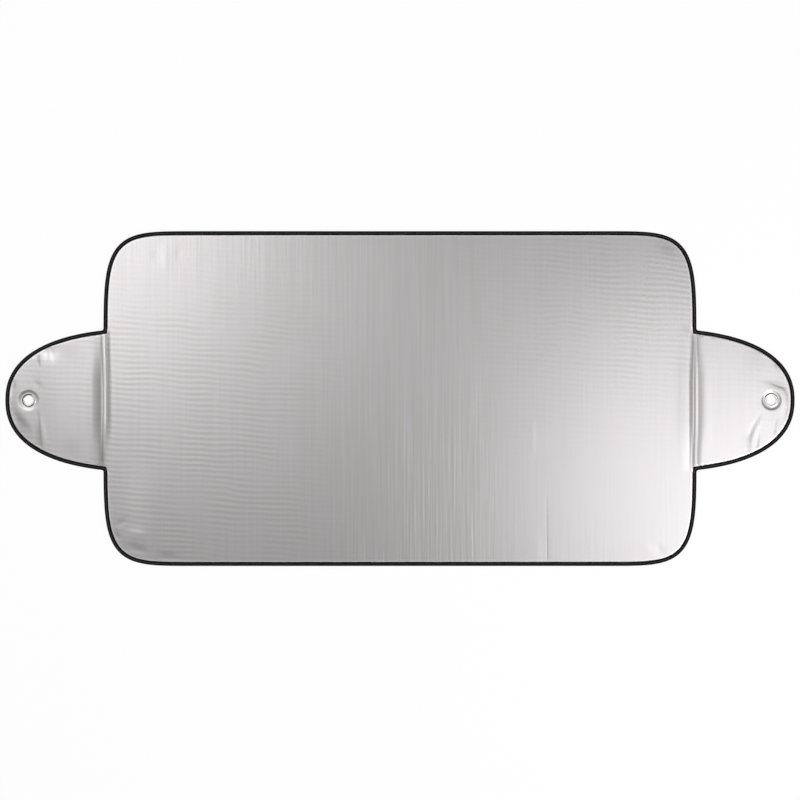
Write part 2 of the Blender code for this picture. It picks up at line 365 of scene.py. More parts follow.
RIGHT_CREASE = Crease(
    foot=(
        (-40, 0, 0), (-15.8, 0.5, -0.5), (-12.4, 0, 0.9), (-9.6, -0.4, 0.15), (-5.5, -1.1, 1.3),
        (-1, -0.8, 0.1), (2.6, -1, 0.5), (5, -0.75, 0.35), (8.5, -0.3, 0.05), (12, 0, 0),
        (22, 0.05, 0), (32, 0, 0),
    ),
    middle=(
        (-46, 0, 0), (-17, 1.1, -0.1), (-12, 0.2, 0.95), (-7.6, -0.9, 0.95), (-4.2, -1.5, 0.2),
        (-1.4, -1.15, 0.9), (2.8, -1.4, -0.3), (5.8, -1.25, 0.2), (10, -0.6, 0.15), (16, 0.1, 0.05),
        (24, 0.4, 0), (36, 0, 0),
    ),
    top=(
        (-40, 0, 0), (-14.6, 0.5, -0.1), (-10.6, -0.2, 0.3), (-6.2, -0.9, 1.1), (-3.6, -1.15, 0.65),
        (-0.5, -1, 0.35), (2.4, -1.1, 0.45), (5, -0.7, 0.3), (9, -0.3, 0.1), (14, 0, 0),
        (22, 0.1, 0), (32, 0, 0),
    ),
)


@dataclass(frozen=True)
class Dish:
    """The round seat that setting an eyelet presses into both sides of the sheet.

    Attributes:
        crushed_side: Way from its middle in which its slope gets the most painted shade, in degrees from +X,
            on each ear.
        crushed_mean: Painted shade on its slope all round, on each ear.
        crushed_swing: How much more painted shade that side gets, and less the other, on each ear.
        crushed_power: How narrowly the painted shade keeps to the slope's middle: the lower, the wider.
    """

    reach: float = 776 * MM
    height: float = -3.5 * MM
    hole_radius: float = 10.0 * MM
    floor_radius: float = 15.4 * MM
    radius: float = 22.5 * MM
    front_fall: float = 1.3 * MM
    back_rise: float = 1.6 * MM
    crushed_side: tuple[float, float] = (75.0, 215.0)
    crushed_mean: tuple[float, float] = (0.3, 0.62)
    crushed_swing: tuple[float, float] = (0.6, 0.35)
    crushed_power: float = 0.6

    def centre(self, ear: Ear) -> np.ndarray:
        """Middle of the dish on this ear, seen from above."""
        return np.array((ear.value * self.reach, self.height))

    def press(self, points: np.ndarray) -> tuple[np.ndarray, np.ndarray]:
        """What both dishes do to the sheet.

        Args:
            points: Places seen from above.

        Returns:
            Share of the full depth at each point, and the painted shade there.
        """
        depth, crushed = np.zeros(len(points)), np.zeros(len(points))
        for ear, side, mean, swing in zip(Ear, self.crushed_side, self.crushed_mean, self.crushed_swing):
            apart = points - self.centre(ear)
            away = np.linalg.norm(apart, axis=1)
            share = ease((away - self.floor_radius) / (self.radius - self.floor_radius))
            facing = np.cos(np.arctan2(apart[:, 1], apart[:, 0]) - math.radians(side))
            depth += 1 - share
            # Painted shade on the dish's slope, heaviest on one side of it
            crushed += np.sin(np.pi * share) ** self.crushed_power * (mean + swing * facing)
        return depth, crushed


@dataclass(frozen=True)
class Wrinkle:
    """A soft fold in the sheet, along a bent line.

    Attributes:
        line_mm: Points that the fold runs through, seen from above.
        width_mm: Half the width of the fold.
        lift_mm: Height of the fold, negative for a valley.
        crushed: Painted shade that it puts on the film, painted highlight where it is negative.
        end_turn: Share of a half turn at which the fold's rise and fall along its line starts.
        line_turn: Share of a half turn that its line takes.
        rows_across: Offsets of the mesh's rows along it, in half widths.
    """

    line_mm: tuple
    width_mm: float
    lift_mm: float
    crushed: float = 0.0
    end_turn: float = 0.12
    line_turn: float = 0.76
    rows_across: tuple = (-1.5, -1, -0.5, 0, 0.5, 1, 1.5)

    def share(self, points: np.ndarray) -> np.ndarray:
        """Share of the fold's full strength at each point."""
        line = np.array(self.line_mm) * MM
        total = np.linalg.norm(np.diff(line, axis=0), axis=1).sum()
        away, share, travelled = np.full(len(points), np.inf), np.zeros(len(points)), 0.0
        for start, end in zip(line, line[1:]):
            step = end - start
            length = np.linalg.norm(step)
            along = np.clip((points - start) @ step / length**2, 0, 1)
            gap = np.linalg.norm(points - start - along[:, None] * step, axis=1)
            share = np.where(gap < away, (travelled + along * length) / total, share)
            away = np.minimum(away, gap)
            travelled += length
        strength = np.sin(np.pi * (self.end_turn + self.line_turn * share))
        return strength * np.exp(-((away / (self.width_mm * MM)) ** 2))

    def rows(self) -> np.ndarray:
        """Points in rows along the fold, close enough to show it."""
        line = np.array(self.line_mm) * MM
        middle = points_along(line, np.arange(0, travelled_of(line)[-1], self.width_mm * MM))
        side = left_of(np.gradient(middle, axis=0))
        side /= np.linalg.norm(side, axis=1)[:, None]
        return np.vstack([middle + side * step * self.width_mm * MM for step in self.rows_across])


# Each fold: its line, half width and lift in millimetres, then painted shade, painted highlight where
# negative
WRINKLES = (
    Wrinkle(((-754, 97), (-755, 80), (-753, 66)), 2.2, -0.45, 0.5),
    Wrinkle(((-752, 130), (-752, -130)), 36.0, 0.0, 0.16),
    Wrinkle(((-808, 30), (-808, -30)), 14.0, 0.0, 0.3),
    Wrinkle(((-748, 101), (-722, 102)), 15.0, -1.9, -0.2),
    Wrinkle(((-745, 98), (-740, 86)), 5.0, 0.0, -0.6),
    Wrinkle(((-729, 98), (-724, 76)), 5.0, 0.0, -0.6),
    Wrinkle(((-735.5, 104), (-735.5, 80)), 2.8, -0.1, 0.4),
    Wrinkle(((-775, 83), (-758, 91)), 5.0, 0.1, -0.4),
    Wrinkle(((-808, 42), (-805, 20)), 3.0, -0.3, 0.5),
    Wrinkle(((-813, 19), (-813, 0)), 2.6, 0.1, -1.2),
    Wrinkle(((-763, 37), (-746, 22)), 5.0, -0.2, 0.25),
    Wrinkle(((-797, -2), (-790, -26)), 5.0, 0.1, -0.35),
    Wrinkle(((-807, -27), (-777, -66)), 8.0, -0.6, 0.5),
    Wrinkle(((-800, -38), (-790, -75)), 8.0, -0.2, 0.3),
    Wrinkle(((-756, -30), (-752.5, -70), (-748, -122)), 2.6, -0.35, 0.35),
    Wrinkle(((-758, -55), (-752, -110)), 6.0, -0.3, 0.35),
    Wrinkle(((-749, -45), (-741, -95)), 5.0, 0.3, -0.2),
    Wrinkle(((-800, -60), (-770, -95)), 16.0, -0.3, 0.25),
    Wrinkle(((-700, 118), (-680, 90)), 20.0, 0.1, 0.15),
    Wrinkle(((-700, -90), (-670, -120)), 20.0, -0.1, 0.15),
    Wrinkle(((-594, -278), (-587, -293)), 5.0, -0.6, 0.35),
    Wrinkle(((-569, -307), (-530, -319)), 8.0, -0.8, 0.35),
    Wrinkle(((-502, -326), (-466, -331)), 7.0, -0.5, 0.3),
    Wrinkle(((-592, -263), (-574, -255)), 6.0, -0.5, 0.2),
    Wrinkle(((-566, -278), (-534, -282)), 7.0, 0.5, -0.4),
    Wrinkle(((-553, -140), (-553, -280)), 30.0, 0.0, -0.3),
    Wrinkle(((-493, 320), (-490, 266)), 8.0, 0.3, -0.15),
    Wrinkle(((-511, 316), (-513, 285)), 5.0, -0.15, 0.08),
    Wrinkle(((-463, 315), (-463, 288)), 6.0, -0.15, 0.08),
    Wrinkle(((545, 322), (572, 305)), 14.0, 0.0, 0.3),
    Wrinkle(((71, -150), (71, -420)), 2.4, 0.0, 0.12),
    Wrinkle(((170.6, -160), (170.6, -420)), 2.2, 0.05, -0.2),
    Wrinkle(((307, -205), (307.5, -430)), 1.8, -0.12, 0.22),
    Wrinkle(((281, -45), (281.5, -125)), 4.0, 0.03, -0.28),
    Wrinkle(((272, -50), (273, -120)), 4.0, -0.02, 0.06),
    Wrinkle(((291, -272), (293, -365)), 6.0, 0.05, -0.25),
    Wrinkle(((512, -311), (532, -319)), 8.0, 0.2, -0.15),
    Wrinkle(((540, -306), (549, -324)), 6.0, -0.2, 0.15),
    Wrinkle(((742, 115), (742, 55)), 26.0, 0.0, 0.13),
    Wrinkle(((800, 60), (800, -60)), 20.0, 0.0, 0.18),
    Wrinkle(((752, -34), (738, -58), (730, -80), (727, -122)), 4.2, -0.55, 0.25),
    Wrinkle(((734, -62), (722, -90)), 9.0, -0.3, 0.12),
    Wrinkle(((756, -46), (744, -66), (738, -90)), 4.0, 0.2, -0.2),
    Wrinkle(((750, -76), (743, -118)), 3.0, -0.4, 0.4),
    Wrinkle(((787, -42), (779, -92)), 2.4, -0.35, 0.35),
    Wrinkle(((778, 31), (803, 23), (811, 6), (812.5, -12), (808, -30), (804, -52)), 2.6, -0.5, 0.3),
    Wrinkle(((762, 38), (784, 34), (808, 22)), 8.0, -0.4, 0.35),
    Wrinkle(((795, 12), (800, -10), (796, -34)), 6.0, 0.3, -0.3),
    Wrinkle(((780, 80), (794, 64)), 5.0, -0.4, 0.4),
    Wrinkle(((738, 108), (758, 98)), 5.0, -0.3, 0.3),
)


@dataclass(frozen=True)
class SheetForm:
    """How the sheet lies: its two sides over the floor, with what presses them in.

    Attributes:
        path: The edge, measured to the outside of the tape.
        thickness: The sheet's thickness where nothing presses it.
        cut_inset: How far inside the outside of the tape the sheet is cut.
        rim_fall: How far the tape presses each side in.
        rim_flat: Inset up to which the sides are pressed that far.
        rim_full: Inset from which the sheet has its full thickness.
        rim_line: Half the width of the line of stretched film there.
        broad_swell: Radians to the metre and start of a broad swell, along X and along Y.
        slant_swell: Share of a slanted swell, its radians to the metre along X and Y, and its start.
        swell_mean: Mean of the swells.
        swell_mm: Height in millimetres of a swell of one.
        dish: The seats of the eyelets.
    """

    path: EdgePath
    thickness: float = 4.0 * MM
    cut_inset: float = 1.2 * MM
    rim_fall: float = 1.2 * MM
    rim_flat: float = 8.3 * MM
    rim_full: float = 9.6 * MM
    # rim_line: Half the width of the painted highlight line there.
    rim_line: float = 1.2 * MM
    broad_swell: tuple = ((7.1, 0.6), (9.3, 1.1))
    slant_swell: tuple = (0.6, 15.7, -6.0, 2.0)
    swell_mean: float = 1.6
    swell_mm: float = 0.25
    dish: Dish = field(default_factory=Dish)

    def lie(self, points: np.ndarray) -> np.ndarray:
        """Height of the whole sheet over the floor, where it doesn't lie quite flat."""
        across, up = points[:, 0], points[:, 1]
        (turn_across, start_across), (turn_up, start_up) = self.broad_swell
        share, slant_across, slant_up, slant_start = self.slant_swell
        swell = np.sin(across * turn_across + start_across) * np.sin(up * turn_up + start_up)
        swell += share * np.sin(across * slant_across + up * slant_up + slant_start)
        return (self.swell_mean + swell) * self.swell_mm * MM

    def sides(self, points: np.ndarray) -> tuple[np.ndarray, np.ndarray, np.ndarray]:
        """Heights of both sides of the sheet, and the state of its film.

        Args:
            points: Places seen from above.

        Returns:
            Height of the front, height of the back and the painted shade on the film, painted highlight where
            that is negative, at each point.
        """
        inset = self.path.inset_of(points)
        free = ease((inset - self.rim_flat) / (self.rim_full - self.rim_flat))
        dish, crushed = self.dish.press(points)
        front = self.thickness - self.rim_fall * (1 - free) - self.dish.front_fall * dish
        back = self.rim_fall * (1 - free) + self.dish.back_rise * dish
        for crease, ear in ((LEFT_CREASE, Ear.LEFT), (RIGHT_CREASE, Ear.RIGHT)):
            rise, lost, crease_painted_shading = crease.press(points, ear)
            front += rise * free
            back += (rise + lost) * free
            crushed += crease_painted_shading
        for wrinkle in WRINKLES:
            share = wrinkle.share(points) * free * (1 - dish)
            front += share * wrinkle.lift_mm * MM
            back += share * wrinkle.lift_mm * MM
            crushed += share * wrinkle.crushed
        lie = self.lie(points)
        # A thin painted highlight line along the tape's inner edge
        crushed -= np.exp(-(((inset - self.rim_full) / self.rim_line) ** 2))
        return front + lie, np.maximum(back + lie, 0.0), np.clip(crushed, -1, 1)


def linear(colour: str) -> tuple[float, float, float, float]:
    """Turns an sRGB colour to the linear one that shaders take.

    Args:
        colour: Six hex digits after a number sign.

    Returns:
        Red, green, blue and alpha.
    """
    shares = [int(colour[place : place + 2], 16) / 255 for place in (1, 3, 5)]
    return (*((s / 12.92 if s <= 0.04045 else ((s + 0.055) / 1.055) ** 2.4) for s in shares), 1.0)


def add_node(
    tree: bpy.types.NodeTree, kind: str, inputs: dict[Any, Any] | None = None, **settings: Any
) -> bpy.types.Node:
    """Adds a node with its settings, values and links.

    Args:
        tree: Node tree to add it to.
        kind: The node's type, without the ShaderNode that it starts with.
        inputs: Values, or sockets or nodes to link, by the input's name or number.
        settings: Values of the node's own properties.

    Returns:
        The node.
    """
    node = tree.nodes.new(f"ShaderNode{kind}")
    for name, value in settings.items():
        setattr(node, name, value)
    for name, value in (inputs or {}).items():
        if isinstance(value, bpy.types.Node):
            value = next(socket for socket in value.outputs if socket.enabled)
        if isinstance(value, bpy.types.NodeSocket):
            tree.links.new(value, node.inputs[name])
        else:
            node.inputs[name].default_value = value
    return node


def new_material(name: str, shader_values: dict[str, Any]) -> tuple[bpy.types.Material, bpy.types.Node]:
    """A material with its shader's own values set.

    Args:
        name: The material's name.
        shader_values: Values of the shader's inputs that are the same all over.

    Returns:
        The material and its shader.
    """
    material = bpy.data.materials.new(name)
    material.use_nodes = True
    shader = material.node_tree.nodes["Principled BSDF"]
    for socket, value in shader_values.items():
        shader.inputs[socket].default_value = value
    return material, shader


@dataclass(frozen=True)
class FoilFinish:
    """Aluminised polyethylene film over a woven scrim on foam, laminated warm.

    The film gives a satin, slightly warm silver. It lies in faint ripples towards the ears and in long
    streaks from the laminating rollers between them. The scrim under it hardly shows, as fine ribs in both
    directions. Painted shade darkens its colour along the ripples, in the creases and dishes and on wrinkles,
    and painted highlight pales it along the tape's inner edge and in some creases and wrinkles.
    """

    colour: str = "#e3dedf"
    cool_colour: str = "#dedde0"
    streak_colour: str = "#dbd7d7"
    crushed_colour: str = "#a19d9d"
    painted_highlight_colour: str = "#fbfaf9"
    roughness: float = 0.36
    ripple: float = 11.5 * MM
    ripple_slant: float = 4.0
    ripple_depth: float = 0.085 * MM
    ripple_shade: float = 0.7
    patch: float = 90.0 * MM
    streak: float = 5.5 * MM
    streak_length: float = 200.0 * MM
    streak_depth: float = 0.22 * MM
    shade_length: float = 300.0 * MM
    shade_shift: float = 3.7
    mottle: float = 60.0 * MM
    weave: float = 2.6 * MM  # twice the real spacing of the scrim's threads, and it still hardly shows
    weave_depth: float = 0.009 * MM
    split_height: float = 0.1
    streak_loss: float = 0.6

    def material(self) -> bpy.types.Material:
        """Builds the material on the piece's own coordinates."""
        material, shader = new_material(
            "aluminised_film_laminate", {"Metallic": 1.0, "Roughness": self.roughness}
        )
        tree = material.node_tree
        place = add_node(tree, "TexCoord").outputs["Object"]
        rippled, streaked = self.regions(tree, place)
        ripples = self.ripples(tree, place, rippled)
        height = self.height(tree, place, ripples, streaked)
        bump = add_node(tree, "Bump", {"Height": height, "Strength": 1.0, "Distance": 1.0})
        tone = self.tone(tree, place, ripples, streaked)
        tree.links.new(tone.outputs["Result"], shader.inputs["Base Color"])
        tree.links.new(bump.outputs["Normal"], shader.inputs["Normal"])
        return material

    def regions(
        self, tree: bpy.types.NodeTree, place: bpy.types.NodeSocket
    ) -> tuple[bpy.types.Node, bpy.types.Node]:
        """Finds where the film lies in ripples and where in streaks.

        Ripples fill the left side below its upper corner and the right side above its lower corner, and are
        weaker on the right and on the ears. Streaks fill the rest, strongest below the middle and weakest at
        the lower right.

        Args:
            tree: The material's nodes.
            place: The piece's own coordinates.

        Returns:
            Strength of the ripples, and strength of the streaks.
        """
        split = add_node(tree, "SeparateXYZ", {0: place})
        across, up = split.outputs["X"], split.outputs["Y"]
        reach = add_node(tree, "Math", {0: across}, operation="ABSOLUTE")
        side = add_node(tree, "Math", {0: across}, operation="SIGN")
        above = add_node(tree, "Math", {0: up, 1: self.split_height}, operation="SUBTRACT")
        turned = add_node(tree, "Math", {0: above, 1: side}, operation="MULTIPLY")
        shares = {}
        for name, value, start, end, first, last in (
            ("diagonal", turned, -0.3, 0.0, 0.0, 1.0),
            ("outer", reach, 0.04, 0.3, 0.0, 1.0),
            ("ear", reach, 0.6, 0.64, 0.0, 0.6),
            ("off_ear", reach, 0.6, 0.64, 1.0, 0.55),
            ("left", across, -0.1, 0.1, 1.0, 0.65),
            ("low", up, 0.05, -0.1, 0.0, 1.0),
            ("right", across, 0.12, 0.28, 0.0, 0.6),
            ("middle", reach, 0.24, 0.12, 0.0, 0.8),
        ):
            ends = {"From Min": start, "From Max": end, "To Min": first, "To Max": last}
            shares[name] = add_node(
                tree, "MapRange", {"Value": value, **ends}, interpolation_type="SMOOTHSTEP"
            )
        rippled = add_node(tree, "Math", {0: shares["diagonal"], 1: shares["outer"]}, operation="MULTIPLY")
        rippled = add_node(tree, "Math", {0: rippled, 1: shares["ear"]}, operation="MAXIMUM")
        streaked = add_node(
            tree, "Math", {0: rippled, 1: -self.streak_loss, 2: 1.0}, operation="MULTIPLY_ADD"
        )
        for name in ("off_ear", "left"):
            rippled = add_node(tree, "Math", {0: rippled, 1: shares[name]}, operation="MULTIPLY")
        low_right = add_node(tree, "Math", {0: shares["low"], 1: shares["right"]}, operation="MULTIPLY")
        kept = add_node(tree, "Math", {0: 1.0, 1: low_right}, operation="SUBTRACT")
        kept = add_node(
            tree, "Math", {0: shares["low"], 1: shares["middle"], 2: kept}, operation="MULTIPLY_ADD"
        )
        streaked = add_node(tree, "Math", {0: streaked, 1: kept}, operation="MULTIPLY")
        return rippled, streaked

    def ripples(
        self, tree: bpy.types.NodeTree, place: bpy.types.NodeSocket, rippled: bpy.types.Node
    ) -> bpy.types.Node:
        """Draws the ripples, which run nearly along X and come and go in patches.

        Args:
            tree: The material's nodes.
            place: The piece's own coordinates.
            rippled: Strength of the ripples.

        Returns:
            The ripples, from 0 to about 1.
        """
        slanted = add_node(
            tree, "Mapping", {"Vector": place, "Rotation": (0, 0, math.radians(self.ripple_slant))}
        )
        bands = add_node(
            tree,
            "TexWave",
            {"Vector": slanted, "Scale": WAVE_SCALE / self.ripple, "Distortion": 5.0, "Detail": 1.0,
             "Detail Scale": 0.3},
            bands_direction="Y",
        )
        patches = add_node(tree, "TexNoise", {"Vector": place, "Scale": 1 / self.patch, "Detail": 1.0})
        ends = {"From Min": 0.35, "From Max": 0.65, "To Min": 0.45, "To Max": 1.4}
        strength = add_node(tree, "MapRange", {"Value": patches.outputs["Fac"], **ends})
        strength = add_node(tree, "Math", {0: strength, 1: rippled}, operation="MULTIPLY")
        return add_node(tree, "Math", {0: bands.outputs["Fac"], 1: strength}, operation="MULTIPLY")

    def long_streaks(
        self, tree: bpy.types.NodeTree, place: bpy.types.NodeSocket, length: float, offset: float
    ) -> bpy.types.NodeSocket:
        """Draws soft streaks along Y.

        Args:
            tree: The material's nodes.
            place: The piece's own coordinates.
            length: Their length.
            offset: Shift that makes one set unlike another.

        Returns:
            The streaks, from 0 to 1.
        """
        stretched = add_node(
            tree,
            "Mapping",
            {"Vector": place, "Location": (offset, offset, 0), "Scale": (1 / self.streak, 1 / length, 0)},
        )
        noise = add_node(tree, "TexNoise", {"Vector": stretched, "Scale": 1.0, "Detail": 2.0})
        return noise.outputs["Fac"]

    def height(
        self,
        tree: bpy.types.NodeTree,
        place: bpy.types.NodeSocket,
        ripples: bpy.types.Node,
        streaked: bpy.types.Node,
    ) -> bpy.types.Node:
        """Adds up the film's relief: ripples, streaks and the scrim's threads.

        Args:
            tree: The material's nodes.
            place: The piece's own coordinates.
            ripples: The ripples.
            streaked: Strength of the streaks.

        Returns:
            Height of the film, in metres.
        """
        streaks = add_node(
            tree,
            "Math",
            {0: self.long_streaks(tree, place, self.streak_length, 0.0), 1: streaked},
            operation="MULTIPLY",
        )
        threads = 1.0
        for direction in ("X", "Y"):
            ribs = add_node(
                tree,
                "TexWave",
                {"Vector": place, "Scale": WAVE_SCALE / self.weave},
                bands_direction=direction,
            )
            threads = add_node(tree, "Math", {0: threads, 1: ribs.outputs["Fac"]}, operation="MULTIPLY")
        height = 0.0
        for pattern, depth in (
            (ripples, self.ripple_depth),
            (streaks, self.streak_depth),
            (threads, self.weave_depth),
        ):
            height = add_node(tree, "Math", {0: pattern, 1: depth, 2: height}, operation="MULTIPLY_ADD")
        return height

    def tone(
        self,
        tree: bpy.types.NodeTree,
        place: bpy.types.NodeSocket,
        ripples: bpy.types.Node,
        streaked: bpy.types.Node,
    ) -> bpy.types.Node:
        """Mixes the film's colour: mottled, streaked, darkened by painted shade and paled by painted
        highlight.

        Args:
            tree: The material's nodes.
            place: The piece's own coordinates.
            ripples: The ripples.
            streaked: Strength of the streaks.

        Returns:
            The node whose result is the colour.
        """
        mottle = add_node(tree, "TexNoise", {"Vector": place, "Scale": 1 / self.mottle, "Detail": 3.0})
        streaks = self.long_streaks(tree, place, self.shade_length, self.shade_shift)
        streaks = add_node(
            tree,
            "MapRange",
            {"Value": streaks, "From Min": 0.3, "From Max": 0.7},
            interpolation_type="SMOOTHSTEP",
        )
        shade = add_node(tree, "Math", {0: streaks, 1: streaked}, operation="MULTIPLY")
        # The ripples also darken the colour: painted shade along them, on top of their relief
        shade = add_node(
            tree, "Math", {0: ripples, 1: self.ripple_shade, 2: shade}, operation="MULTIPLY_ADD"
        )
        # The attribute mixes in painted shade where positive; its negative, called stretched, mixes in
        # painted highlight
        crushed = add_node(tree, "Attribute", attribute_name=PAINTED_SHADING).outputs["Fac"]
        stretched = add_node(tree, "Math", {0: crushed, 1: -1.0}, operation="MULTIPLY")
        tone = linear(self.colour)
        for factor, colour in (
            (mottle.outputs["Fac"], self.cool_colour),
            (shade, self.streak_colour),
            (crushed, self.crushed_colour),
            (stretched, self.painted_highlight_colour),
        ):
            tone = add_node(
                tree, "Mix", {"Factor": factor, "A": tone, "B": linear(colour)}, data_type="RGBA"
            )
        return tone


@dataclass(frozen=True)
class TapeFinish:
    """Black woven polyester binding tape, folded and pressed: matt, with fine ribs across it."""

    colour: str = "#0d0c0e"
    rib_colour: str = "#171618"
    rib: float = 1.1 * MM  # real ribs are 0.5 mm apart: drawn twice as coarse, to show close up
    rib_depth: float = 0.12 * MM

    def material(self) -> bpy.types.Material:
        """Builds the material on the tape's own unrolled coordinates."""
        material, shader = new_material(
            "woven_polyester_tape",
            {"Roughness": 0.9, "Specular IOR Level": 0.06, "Sheen Weight": 0.01, "Sheen Roughness": 0.5},
        )
        tree = material.node_tree
        place = add_node(tree, "TexCoord").outputs["UV"]
        ribs = add_node(
            tree,
            "TexWave",
            {"Vector": place, "Scale": WAVE_SCALE / self.rib, "Distortion": 0.6, "Detail Scale": 0.5},
            bands_direction="X",
        ).outputs["Fac"]
        threads = add_node(
            tree,
            "TexWave",
            {"Vector": place, "Scale": WAVE_SCALE / self.rib, "Distortion": 0.6, "Detail Scale": 0.5},
            bands_direction="Y",
        ).outputs["Fac"]
        weave = add_node(tree, "Math", {0: ribs, 1: threads}, operation="MULTIPLY").outputs[0]
        tone = add_node(
            tree,
            "Mix",
            {"Factor": weave, "A": linear(self.colour), "B": linear(self.rib_colour)},
            data_type="RGBA",
        )
        bump = add_node(tree, "Bump", {"Height": weave, "Strength": 0.6, "Distance": self.rib_depth})
        tree.links.new(tone.outputs["Result"], shader.inputs["Base Color"])
        tree.links.new(bump.outputs["Normal"], shader.inputs["Normal"])
        return material


@dataclass(frozen=True)
class ThreadFinish:
    """Bonded polyester sewing thread, a little paler than the tape: satin, with a twist drawn in painted
    shade.
    """

    colour: str = "#7c7b7d"
    twist_painted_shade_colour: str = "#454446"
    twist: float = 0.8 * MM

    def material(self) -> bpy.types.Material:
        """Builds the material on the piece's own coordinates."""
        material, shader = new_material("bonded_polyester_thread", {"Roughness": 0.55, "Sheen Weight": 0.1})
        tree = material.node_tree
        place = add_node(tree, "TexCoord").outputs["Object"]
        twist = add_node(
            tree,
            "TexWave",
            {"Vector": place, "Scale": WAVE_SCALE / self.twist},
            bands_direction="DIAGONAL",
        ).outputs["Fac"]
        # The twist is painted: painted shade in its grooves and painted highlight on its strands
        tone = add_node(
            tree,
            "Mix",
            {"Factor": twist, "A": linear(self.twist_painted_shade_colour), "B": linear(self.colour)},
            data_type="RGBA",
        )
        tree.links.new(tone.outputs["Result"], shader.inputs["Base Color"])
        return material


@dataclass(frozen=True)
class NickelFinish:
    """Bright nickel plate over pressed steel: a clean mirror with faint turning marks and a band of painted
    shade.

    Attributes:
        painted_band_mm: Radii between which each ear's eyelet gets painted shade, for its shadowed throat.
        painted_band_side: Way from its middle where the painted shade is heaviest, in degrees from +X, on
            each ear.
        painted_band_spread: Cosines of the turn from there at which the painted shade ends and is full, on
            each ear.
        band_edge: Shares of the band's width from its middle where the painted shade starts to fade and ends.
        turning: Distance between turning marks.
        cloud: Size of the worn patches.
        gloss_spread: What the patches take from the roughness and add to it.
    """

    colour: str = "#efedea"
    worn_colour: str = "#d8d5d1"
    painted_band_colour: str = "#403d3a"
    roughness: float = 0.16
    painted_band_mm: tuple = ((11.4, 13.7), (13.4, 15.6))
    painted_band_side: tuple[float, float] = (185.0, 80.0)
    painted_band_spread: tuple = ((-0.95, -0.5), (0.0, 0.4))
    band_edge: tuple[float, float] = (0.35, 0.55)
    turning: float = 0.7 * MM
    turning_depth: float = 0.01 * MM
    cloud: float = 4 * MM
    gloss_spread: tuple[float, float] = (-0.04, 0.08)

    def material(self, centre: np.ndarray, ear: Ear) -> bpy.types.Material:
        """Builds the material with its turning marks round the middle of this ear's eyelet."""
        material, shader = new_material(f"bright_nickel_plate_{ear.word}", {"Metallic": 1.0})
        tree = material.node_tree
        place = add_node(tree, "TexCoord").outputs["Object"]
        centred = add_node(
            tree, "Mapping", {"Vector": place, "Location": (-centre[0], -centre[1], 0)}
        ).outputs[0]
        rings = add_node(
            tree,
            "TexWave",
            {"Vector": centred, "Scale": WAVE_SCALE / self.turning, "Distortion": 0.5},
            wave_type="RINGS",
            rings_direction="Z",
        ).outputs["Fac"]
        cloud = add_node(
            tree, "TexNoise", {"Vector": centred, "Scale": 1 / self.cloud, "Detail": 3.0}
        ).outputs["Fac"]
        tone = add_node(
            tree,
            "Mix",
            {"Factor": cloud, "A": linear(self.colour), "B": linear(self.worn_colour)},
            data_type="RGBA",
        )
        number = list(Ear).index(ear)
        # A band of painted shade round the throat, heaviest on one side, standing in for the throat's shadow
        low, high = (radius * MM for radius in self.painted_band_mm[number])
        flat = add_node(tree, "VectorMath", {0: centred, 1: (1, 1, 0)}, operation="MULTIPLY").outputs[0]
        away = add_node(tree, "VectorMath", {0: flat}, operation="LENGTH").outputs["Value"]
        off_middle = add_node(tree, "Math", {0: away, 1: (low + high) / 2}, operation="SUBTRACT").outputs[0]
        off_middle = add_node(tree, "Math", {0: off_middle}, operation="ABSOLUTE").outputs[0]
        fading, faded = ((high - low) * share for share in self.band_edge)
        band = add_node(
            tree,
            "MapRange",
            {"Value": off_middle, "From Min": fading, "From Max": faded, "To Min": 1.0, "To Max": 0.0},
        ).outputs[0]
        outward = add_node(tree, "VectorMath", {0: flat}, operation="NORMALIZE").outputs[0]
        turn = math.radians(self.painted_band_side[number])
        facing = add_node(
            tree, "VectorMath", {0: outward, 1: (math.cos(turn), math.sin(turn), 0)},
            operation="DOT_PRODUCT",
        ).outputs["Value"]
        ends, full = self.painted_band_spread[number]
        side = add_node(tree, "MapRange", {"Value": facing, "From Min": ends, "From Max": full}).outputs[0]
        painted_band = add_node(tree, "Math", {0: band, 1: side}, operation="MULTIPLY").outputs[0]
        tone = add_node(
            tree,
            "Mix",
            {"Factor": painted_band, "A": tone.outputs["Result"], "B": linear(self.painted_band_colour)},
            data_type="RGBA",
        )
        lowest, highest = (self.roughness + spread for spread in self.gloss_spread)
        gloss = add_node(tree, "MapRange", {"Value": cloud, "To Min": lowest, "To Max": highest})
        bump = add_node(tree, "Bump", {"Height": rings, "Strength": 0.3, "Distance": self.turning_depth})
        tree.links.new(tone.outputs["Result"], shader.inputs["Base Color"])
        tree.links.new(gloss.outputs[0], shader.inputs["Roughness"])
        tree.links.new(bump.outputs["Normal"], shader.inputs["Normal"])
        return material


def place_piece(name: str, mesh: bpy.types.Mesh) -> bpy.types.Object:
    """Puts a mesh in the scene as a piece at the origin."""
    piece = bpy.data.objects.new(name, mesh)
    bpy.context.scene.collection.objects.link(piece)
    return piece


def only(piece: bpy.types.Object) -> None:
    """Makes this the one selected and active object."""
    bpy.ops.object.select_all(action="DESELECT")
    piece.select_set(True)
    bpy.context.view_layer.objects.active = piece


def apply_modifier(piece: bpy.types.Object, kind: str, **settings: Any) -> None:
    """Adds a modifier to a piece and applies it.

    Args:
        piece: The piece.
        kind: The modifier's type.
        settings: Values of the modifier's own properties.
    """
    only(piece)
    modifier = piece.modifiers.new(kind.lower(), kind)
    for name, value in settings.items():
        setattr(modifier, name, value)
    bpy.ops.object.modifier_apply(modifier=modifier.name)


def finish_piece(piece: bpy.types.Object, material: bpy.types.Material, node: str | None) -> None:
    """Gives a piece its finish and its place in the object.

    Args:
        piece: The piece.
        material: Its finish.
        node: The solid that it stands for, if there is one.
    """
    piece.data.materials.clear()
    piece.data.materials.append(material)
    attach(piece, "root")
    if node:
        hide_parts(node)
    log.info("%s: %d faces", piece.name, len(piece.data.polygons))


